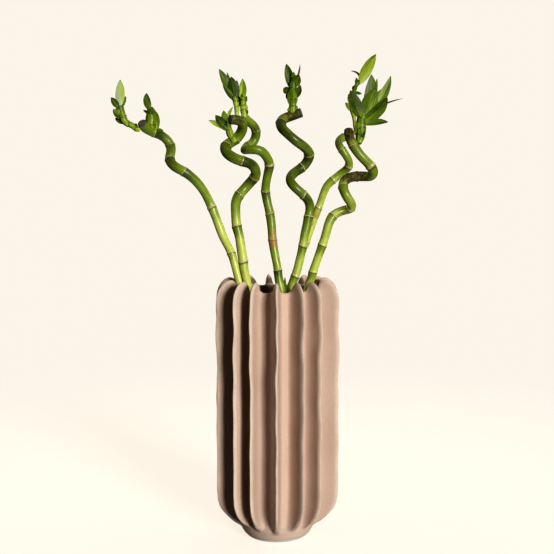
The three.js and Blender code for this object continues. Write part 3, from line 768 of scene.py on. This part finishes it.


# The shoots: each is a stem of x, y, z, radius points with blades as x, y, z of the root, x, y, z
# of the tip, width, bow sideways and tone, from 0 for the darkest green to 1 for yellow-green and
# over 1 for a painted pale sheen. The tones are the stem's, at its foot and its top. Where a shoot has a
# spread, its blades are so many times broader than their widths instead of the usual spread, and
# where it is withered, so much of its stem is brown.

SHOOTS = {
    "shoot_1": {
        "stem": [
            (-151, -3, 454, 2.7), (-155, -6, 455, 2.4), (-158, -8, 458, 2.7), (-163, -8, 460, 2.9),
            (-166, -8, 463, 3.1), (-168, -7, 468, 3.6), (-170, -6, 474, 3.4), (-171, -6, 480, 2.7),
        ],
        "tones": (0.9, 0.6),
        "blades": [
            (-172, -6, 478, -170, -9, 507, 8.5, 0.5, 1.4),
            (-173, -6, 477, -180, -11, 488, 6, 0.5, 0.3),
            (-171, -5, 477, -165, -3, 490, 4.5, 0, 0.3),
            (-167, -8, 466, -178, -12, 475, 8, 0, 0.42),
            (-168, -7, 470, -176, -2, 480, 5.5, 0, 0.5),
            (-166, -8, 461, -177, -4, 466, 5.5, 0, 0.28),
            (-161, -9, 459, -163, -11, 464, 4.5, 0, 0.72),
            (-155, -7, 455, -153, -11, 460, 4.5, 0, 0.6),
        ],
    },
    "shoot_2": {
        "stem": [
            (-139, 7, 452, 4.2), (-139, 6, 456, 5.2), (-139, 6, 462, 5.4), (-139, 6, 470, 4.7),
            (-140, 6, 477, 2.7), (-141, 6, 482, 1.5),
        ],
        "tones": (0.6, 0.5),
        "blades": [
            (-138, 5, 451, -137, 2, 479, 12.5, -0.5, 0.7),
            (-134, 6, 453, -133, 8, 474, 7.5, -0.5, 0.55),
            (-142, 3, 459, -137, 0, 478, 6.5, -1, 0.16),
            (-140, 6, 476, -143, 3, 494, 7, -3, 0.42),
            (-141, 6, 472, -148, 10, 476, 2.5, 0, 0.2),
            (-136, 7, 455, -125, 3, 453, 4, 0.5, 0.6),
            (-135, 7, 459, -131, 10, 464, 3.5, 0, 0.6),
        ],
    },
    "shoot_3": {
        "stem": [
            (-46, -14, 440, 3.4), (-48, -15, 444, 3.4), (-51, -16, 448, 3.3), (-52, -16, 453, 3),
            (-53, -16, 458, 2),
        ],
        "tones": (0.8, 0.6), "spread": 1.35,
        "blades": [
            (-52, -18, 452, -66, -25, 468, 7, -0.5, 0.3),
            (-53, -15, 455, -58, -12, 474, 6, -1.5, 0.66),
            (-53, -14, 456, -48, -11, 478, 3, -4.5, 0.85),
            (-53, -15, 454, -74, -17, 463, 4.5, 0.5, 1.05),
            (-52, -15, 452, -53, -18, 467, 4.5, 0, 0.45),
            (-49, -17, 444, -51, -21, 455, 4.5, 0, 0.8),
            (-47, -15, 442, -44, -18, 450, 4.5, 0, 0.74),
            (-49, -14, 444, -42, -9, 445, 3.5, 0, 0.6),
        ],
    },
    "shoot_4": {
        "stem": [
            (-39, 1, 464, 2.2), (-42, 0, 466, 3), (-44, 1, 471, 2.4), (-44, 0, 477, 2.4),
            (-45, 0, 483, 2.7), (-46, 0, 488, 2.4), (-48, 1, 492, 1.4),
        ],
        "tones": (1.4, 0.7), "spread": 1.4,
        "blades": [
            (-47, 0, 488, -63, -5, 519, 6.5, 1, 0.5),
            (-47, 1, 490, -55, 6, 517, 3, -0.5, 0.3),
            (-46, -1, 487, -50, -4, 511, 8, 0.5, 0.04),
            (-46, 0, 485, -59, -7, 503, 4, -0.5, 0.14),
            (-45, 1, 480, -44, 3, 508, 4.5, 0.5, 0.62),
            (-44, 2, 479, -38, 7, 510, 7, 4.5, 1.0),
        ],
    },
    "shoot_5": {
        "stem": [
            (-36, 0, 468, 3.3), (-36, 0, 471, 3.1), (-37, 0, 477, 3.1), (-37, -1, 483, 2.8),
            (-37, -1, 488, 2.4), (-38, -1, 491, 1.4),
        ],
        "tones": (0.9, 0.75),
        "blades": [
            (-37, -1, 481, -33, -4, 490, 4.5, -0.5, 0.72),
            (-37, -1, 485, -39, -5, 492, 3.5, 0, 0.6),
            (-37, 0, 475, -39, -5, 482, 4, 0, 0.75),
            (-36, 0, 473, -33, 4, 481, 4, 0, 0.8),
            (-36, 0, 469, -32, -4, 475, 4, 0, 0.7),
        ],
    },
    "shoot_6": {
        "stem": [
            (16, -15, 466, 3.7), (17, -15, 473, 3.6), (17, -14, 480, 3.9), (17, -14, 487, 4.1),
            (17, -14, 494, 4.2), (17, -14, 501, 3.7), (18, -13, 506, 2.4),
        ],
        "tones": (0.7, 0.15), "spread": 1.4,
        "blades": [
            (15, -13, 498, 10, -10, 524, 6.5, 1, 0.34),
            (17, -12, 502, 18, -15, 515, 4, 0, 0.36),
            (18, -14, 499, 24, -19, 511, 7.5, -1, 0.28),
            (18, -13, 501, 25, -9, 524, 1.5, 3, 0.2),
            (19, -14, 487, 25, -8, 502, 5, 2, 0.12),
            (13, -15, 493, 7, -20, 497, 5.5, 0, 0),
            (14, -14, 485, 10, -10, 492, 3.5, 0, 0.06),
            (17, -16, 477, 16, -20, 498, 8, 0, 0.5),
            (18, -14, 473, 22, -11, 479, 3.5, 0, 0.62),
            (15, -15, 472, 12, -19, 476, 3.5, 0, 0.7),
        ],
    },
    "shoot_7": {
        "stem": [
            (85, 25, 450, 2.2), (88, 24, 454, 2.2), (87, 23, 460, 2), (86, 22, 469, 1.9),
            (84, 22, 477, 1.9), (83, 21, 484, 2), (83, 21, 491, 1.8), (86, 20, 498, 1.7),
            (88, 19, 503, 1.6), (91, 19, 507, 1.3),
        ],
        "tones": (1.0, 0.5), "withered": 0.35,
        "blades": [
            (92, 19, 506, 109, 12, 537, 10, -1, 0.86),
            (92, 19, 507, 82, 22, 520, 2, 9.5, 0.12),
            (91, 20, 505, 101, 26, 512, 2, -1, 0.3),
            (89, 20, 502, 88, 15, 512, 3.5, 0, 0.5),
            (86, 20, 497, 85, 25, 504, 3, 0, 0.4),
            (86, 20, 496, 95, 25, 495, 3, -0.5, 0.1),
            (85, 22, 475, 76, 19, 485, 5, 0.5, 0.74),
            (83, 21, 482, 80, 24, 495, 5, 0.5, 0.7),
        ],
    },
    "shoot_8": {
        "stem": [
            (89, -14, 438, 2.6), (90, -12, 444, 4.3), (91, -12, 452, 5.2), (91, -11, 459, 5),
            (92, -10, 466, 4.1), (94, -8, 472, 2.4),
        ],
        "tones": (0.55, 0.6), "spread": 1.22,
        "blades": [
            (92, -12, 465, 79, -17, 495, 10.5, 0, 0.3),
            (94, -9, 464, 106, -11, 498, 14, 0.5, 0.5),
            (96, -8, 470, 103, 1, 514, 11.5, 6, 0.28),
            (96, -8, 470, 110, 6, 510, 5, 4.5, 0.24),
            (95, -8, 469, 119, 3, 500, 9, 0, 0.2),
            (95, -8, 469, 124, -3, 512, 8.5, 10, 0.7),
            (95, -11, 463, 119, -18, 487, 10.5, 5, 0.3),
            (94, -12, 459, 120, -19, 461, 5.5, -3, 0.62),
            (95, -9, 468, 137, -8, 487, 1.5, -6, 0.2),
            (89, -14, 454, 94, -19, 445, 6.5, 0, 0.22),
            (90, -14, 447, 87, -18, 461, 7.5, 0, 0.62),
        ],
    },
    "shoot_9": {
        "stem": [(9, 11, 262, 1.6), (9, 14, 270, 1.8), (9, 14, 283, 1.5), (9, 14, 290, 0.5)],
        "tones": (0.25, 0.25),
        "blades": [],
    },
}
# A leaf's outline: the share of its length, and its half width as a share of the widest
LEAF_OUTLINE = [(0, 0.34), (0.14, 0.7), (0.36, 1), (0.6, 0.97), (0.82, 0.62), (0.94, 0.27), (1, 0.02)]
LEAF_EDGE = through(LEAF_OUTLINE, 0.02)


def leaf_breadth(t):
    """A leaf's half width at a share of its length, as a share of the widest."""
    k = max(1, next((i for i, p in enumerate(LEAF_EDGE) if p[0] >= t), len(LEAF_EDGE) - 1))
    (t0, half0), (t1, half1) = LEAF_EDGE[k - 1], LEAF_EDGE[k]
    return half0 + (half1 - half0) * ramp(t, t0, t1) if t1 > t0 else half1


def make_blade(name, row, spread):
    """One leaf: a bowed, folded sheet, a little twisted and rippled, given its thickness.

    Its tip is dry, and a leaf as thin as a thread is dry all along.
    """
    x0, y0, z0, x1, y1, z1, width, bow, tone = row
    draw = random.Random(repr(row))
    start, tip = Vector((x0, y0, z0)), Vector((x1, y1, z1))
    run = tip - start
    length = run.length
    heading = run.normalized()
    face = Vector((0, -1, 0))
    face = (face - heading * face.dot(heading)).normalized()
    side = heading.cross(face)
    middle = (start + tip) / 2 + side * bow - face * 0.06 * length
    folded = (0.2 if y1 > y0 else -0.18) + draw.uniform(-0.06, 0.06)
    phase = any_turn(draw)
    twist = draw.uniform(-0.2, 0.2)
    # Painted shade: one half of the leaf, on one side of the midrib, is darker or lighter, as light falls
    # across the fold.
    painted_half_shade = draw.choice((-0.22, 0.16))
    dry_tip = 0.9 if length > 14 else 0.6
    dry_all = 0.8 if width < THREAD_WIDTH else 0.0
    # Leaves of different tones lie far apart in the mottling, so that it doesn't repeat on them.
    unlike = 40

    sheet = flat_sheet(name, BLADE_COLUMNS, max(10, round(length / BLADE_ROW)))
    grain, rib, tones, dry = [], [], [], []
    for v in sheet.data.vertices:
        u, t = 2 * v.co.x, v.co.y + 0.5
        spine = start * (1 - t) ** 2 + middle * 2 * t * (1 - t) + tip * t * t
        tangent = ((middle - start) * (1 - t) + (tip - middle) * t).normalized()
        flat = (side - tangent * side.dot(tangent)).normalized()
        up = flat.cross(tangent)
        flat = (flat + up * twist * (t - 0.3)).normalized()
        up = flat.cross(tangent)
        half = 0.5 * spread * width * leaf_breadth(t)
        fold = folded * half * (abs(u) ** 1.3 - 0.35) * (1 - 0.5 * t)
        ripple = 0.05 * half * abs(u) ** 3 * math.sin(9 * t + phase + (2 if u > 0 else 0))
        v.co = (spine + flat * half * u + up * (fold + ripple)) * MM
        grain.append((u * half, t * length, tone * unlike))
        rib.append(float(u))
        dry.append(float(max(dry_all, dry_tip * ease(t, 0.9, 1.0))))
        # The painted half shade, plus the leaf's own tone: lighter at the base and darker to the tip.
        painted_shade_and_tone = painted_half_shade * ease(u, -0.15, 0.15) + 0.2 * (1 - ramp(t, 0, 0.35)) - 0.16 * t
        tones.append(float(tone + painted_shade_and_tone))
    mark(sheet, "grain", grain, "FLOAT_VECTOR")
    mark(sheet, "rib", rib)
    mark(sheet, "tone", tones)
    mark(sheet, "dry", dry)
    take_up(sheet)
    bpy.ops.object.modifier_add(type="SOLIDIFY")
    thicken = sheet.modifiers[-1]
    thicken.thickness = BLADE_THICK * MM
    thicken.offset = 0
    bpy.ops.object.modifier_apply(modifier=thicken.name)
    close_up(sheet, 70)
    return sheet


def stem_marks(tones, rows, rim=0, withered=0.0):
    """Marks for a stem whose tone runs from the first of tones to the second along its rows.

    Its last rim rows are a dark rim, and withered is the share of it, from its foot, that is brown.
    """
    usual_r = 4

    def marks(j, i):
        a = TURN * i / STEM_SIDES
        on_rim = rows - rim < j <= rows
        return {
            "grain": (usual_r * math.cos(a), float(j), usual_r * math.sin(a)),
            "rib": 1.0 if on_rim else 0.5,
            "tone": float(tones[0] + (tones[1] - tones[0]) * ramp(j, 0, rows)),
            "dry": 0.45 if on_rim else 0.6 * float(j < withered * rows),
        }
    return marks


def make_sheath(name, line, at, lean, tone):
    """A sheath that wraps the stem under a leaf, its mouth cut aslant and highest on the leaf's side."""
    part = line[max(0, at - SHEATH_LENGTH):at + 1]
    if len(part) < 4:
        return None

    def reach(i, _):
        return part[i][3] + 0.14 + 0.6 * (i / (len(part) - 1)) ** 1.3

    rings = turned_rings(part, reach, STEM_SIDES)
    heading = (Vector(part[-1][:3]) - Vector(part[-3][:3])).normalized()
    lean = lean - heading * lean.dot(heading)
    lean = lean.normalized() if lean.length > 0.01 else Vector((0, -1, 0))
    centre = Vector(part[-1][:3])
    for back, weight in ((-1, 1.0), (-2, 0.6), (-3, 0.25)):
        ring = rings[back]
        for k, p in enumerate(ring):
            toward = (p - centre).dot(lean) / max(0.1, part[-1][3])
            ring[k] = p + heading * (1.5 * toward) * weight
    rings.append([p + (centre - p) * 0.22 for p in rings[-1]])
    return rolled(name, capped(rings), stem_marks((tone + 0.15, tone - 0.1), len(rings), 3), 40)


def make_stem(name, line, tones, withered):
    """The stem of a shoot, slightly ribbed and drawn in at its top."""
    last = len(line) - 1

    def reach(i, a):
        return line[i][3] * (1 - 0.55 * ramp(i, last - 3, last) ** 2) + 0.08 * math.sin(3 * a + i * 0.2)

    rings = turned_rings(line, reach, STEM_SIDES)
    return rolled(name, capped(rings), stem_marks(tones, len(rings), 0, withered))


def make_shoot(name, shoot, finish):
    """One shoot: a stem, the sheaths that wrap it and its leaves, joined.

    A leaf has a sheath where its root is close to the stem and no other sheath is near.
    """
    draw = random.Random(name)
    line = through(shoot["stem"], STEM_STEP)
    low, high = shoot["tones"]
    parts = [make_stem(name + "_stem", line, (low, high), shoot.get("withered", 0))]
    wrapped = []
    for k, row in enumerate(shoot["blades"]):
        parts.append(make_blade(f"{name}_blade_{k}", row, shoot.get("spread", USUAL_SPREAD)))
        root, tip = Vector(row[:3]), Vector(row[3:6])
        away = [(Vector(p[:3]) - root).length for p in line]
        at = away.index(min(away))
        clear = all(abs(at - other) > SHEATH_GAP for other in wrapped)
        if clear and away[at] < line[at][3] + SHEATH_REACH:
            wrapped.append(at)
            tone = low + (high - low) * at / (len(line) - 1) + draw.uniform(-0.15, 0.15)
            sheath = make_sheath(f"{name}_sheath_{k}", line, at, tip - root, tone)
            if sheath:
                parts.append(sheath)
    take_up(*parts)
    if len(parts) > 1:
        bpy.ops.object.join()
    piece = bpy.context.object
    piece.name = piece.data.name = name + "_growth"
    piece.data.materials.clear()
    piece.data.materials.append(finish)
    piece.visible_shadow = name not in SHADOWLESS
    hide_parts(name)
    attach(piece, "root")


def make_water(finish):
    """The water, with its surface drawn up a little where it meets the vase's wall."""
    profile = [
        (FLOOR_R - 0.8, FLOOR_Z + 0.9), (39.4, 24.8), (WATER_R, 51), (WATER_R, WATER_LEVEL - 2),
        (WATER_R, WATER_LEVEL), (WATER_R - 0.5, WATER_LEVEL - 0.7), (WATER_R - 1.6, WATER_LEVEL - 1.1),
        (WATER_R - 4, WATER_LEVEL - 1.25), (20, WATER_LEVEL - 1.3),
    ]
    turns = [TURN * k / WATER_SIDES for k in range(WATER_SIDES)]
    rings = [[Vector((r * math.cos(a), r * math.sin(a), z)) for a in turns] for r, z in profile]
    piece = rolled("water_body", capped(rings), None, 40)
    piece.data.materials.append(finish)
    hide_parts("water")
    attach(piece, "root")


# The studio

def floor_finish():
    """Pale grey, glowing a little so that it meets the background, and clear far from the vase."""
    dim, light = (0.34, 0.325, 0.30, 1), (0.38, 0.36, 0.335, 1)
    f = Finish("pale_floor", Roughness=0.9, Emission_Color=CREAM, Emission_Strength=0.85)
    place = f.place()
    f.paint(f.blend(f.noise(place, 2.5, 3), dim, light))
    mix = f.add("MixShader", inputs={
        0: f.between(f.distance(place), 0.25, 1.1), 1: f.shader.outputs[0],
        2: f.add("BsdfTransparent").outputs[0]})
    f.feed(f.nodes["Material Output"].inputs["Surface"], mix.outputs[0])
    return f.material


def make_floor(finish):
    """A wide round floor, just under the vase."""
    bpy.ops.object.select_all(action="DESELECT")
    bpy.ops.mesh.primitive_circle_add(
        vertices=96, radius=9, fill_type="NGON", location=(0, 0, -0.4 * MM))
    floor = bpy.context.object
    floor.name = "floor"
    floor.data.materials.append(finish)
    floor.visible_diffuse = False


def make_sunlight():
    """Low daylight from the viewer's right, soft at the edges of its shadows."""
    bpy.ops.object.light_add(type="SUN", location=(1.5, -2.6, 0.9))
    lamp = bpy.context.object
    lamp.name = "window_light"
    lamp.data.angle = 0.3
    lamp.data.energy = 2.9
    lamp.data.color = (1.0, 0.97, 0.92)
    lamp.rotation_euler = Vector(SUN_HEADING).to_track_quat("-Z", "Y").to_euler()


def make_background():
    """Cream light, strong from behind the plant and weak from the viewer's side and from below.

    The camera itself sees an even cream.
    """
    world = bpy.data.worlds.new("cream_room")
    bpy.context.scene.world = world
    w = Wiring(world)
    direction = w.add("SeparateXYZ", inputs={0: w.add("TexCoord").outputs["Generated"]})
    behind = w.between(direction.outputs["Y"], -0.6, 0.5, 0.03, 0.5)
    above = w.between(direction.outputs["Z"], -0.12, 0.05, 0.1, 1.0)
    room = w.nodes["Background"]
    w.feed(room.inputs["Color"], WARM_LIGHT)
    w.feed(room.inputs["Strength"], w.times(behind, above))
    seen = w.add("Background", inputs={"Color": CREAM})
    pick = w.add("MixShader", inputs={
        0: w.add("LightPath").outputs["Is Camera Ray"], 1: room.outputs[0], 2: seen.outputs[0]})
    w.feed(w.nodes["World Output"].inputs["Surface"], pick.outputs[0])


def make_camera():
    """The camera, level from side to side and looking slightly down."""
    bpy.ops.object.camera_add(location=EYE, rotation=(math.pi / 2 - EYE_DOWN, 0, 0))
    camera = bpy.context.object
    camera.name = "viewpoint"
    camera.data.lens = LENS
    camera.data.sensor_width = SENSOR
    camera.data.clip_start = 0.05
    camera.data.clip_end = 60
    bpy.context.scene.camera = camera


make_camera()
make_vase(ceramic_finish())
cane_skin, leaf_skin, wax = cane_finish(), leaf_finish(), wax_finish()
for cane_name, cane_facts in CANES.items():
    cut_end = make_cane(cane_name, cane_facts, cane_skin)
    if cane_facts.get("waxed"):
        make_wax(cane_name.replace("cane", "wax"), *cut_end, wax)
for shoot_name, shoot_facts in SHOOTS.items():
    make_shoot(shoot_name, shoot_facts, leaf_skin)
make_water(water_finish())
make_floor(floor_finish())
make_sunlight()
make_background()
bpy.context.scene.view_settings.view_transform = "Standard"
bpy.context.scene.view_settings.look = "High Contrast"
